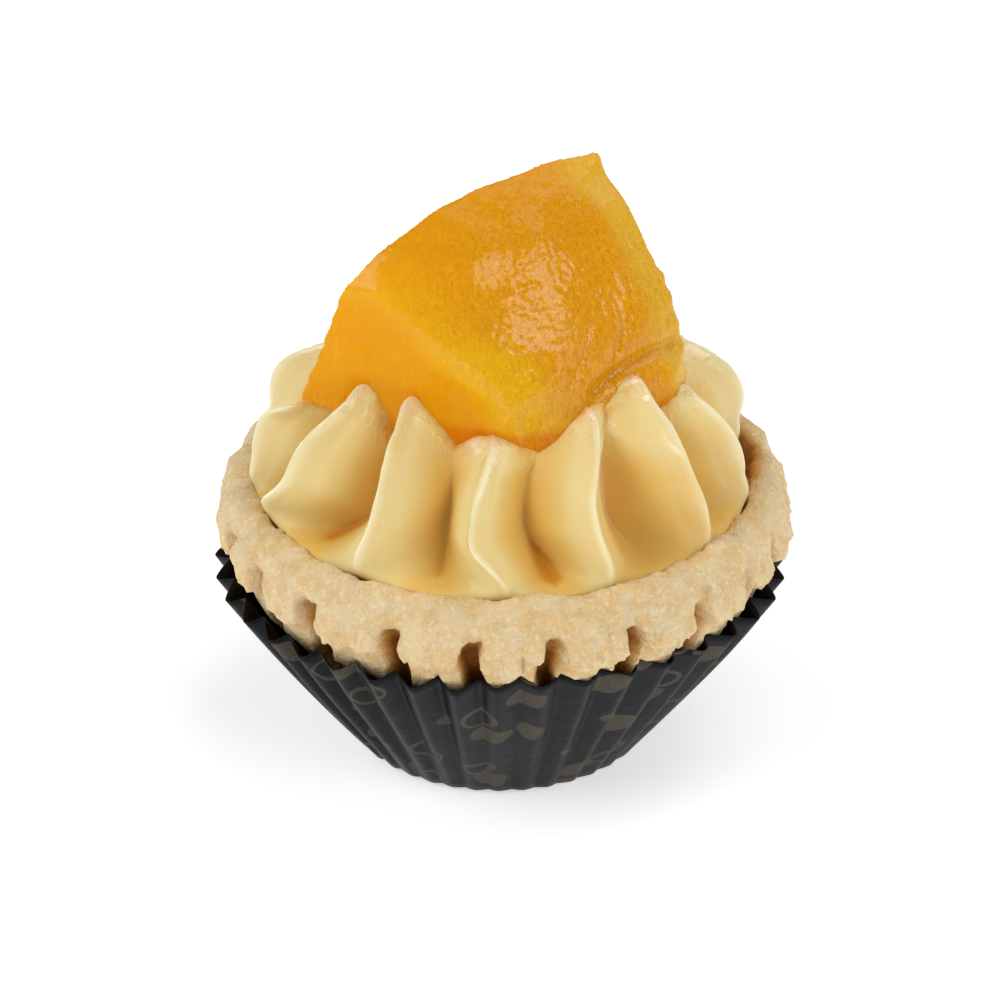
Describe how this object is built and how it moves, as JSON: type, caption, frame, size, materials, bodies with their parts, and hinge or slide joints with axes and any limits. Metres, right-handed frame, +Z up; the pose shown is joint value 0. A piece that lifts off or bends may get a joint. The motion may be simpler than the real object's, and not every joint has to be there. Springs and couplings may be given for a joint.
{
  "type": "peach tart",
  "caption": "Small round tart: fluted shortcrust shell filled with a piped custard rosette, a chunk of peach pressed into its top, standing in a dark pleated paper baking case.",
  "frame": {"origin": "centre of the paper case's underside, on the surface the tart stands on", "axes": "+Z up; -Y towards the side that the picture shows; +X to the right in that view"},
  "size_m": [0.061, 0.06, 0.0645],
  "materials": {
    "case_paper": "satin",
    "shortcrust": "matte",
    "custard_cream": "satin",
    "peach_flesh": "gloss"
  },
  "bodies": {
    "root": {"paper_case": "case_paper", "crust": "shortcrust", "cream": "custard_cream", "peach": "peach_flesh"}
  },
  "joints": []
}
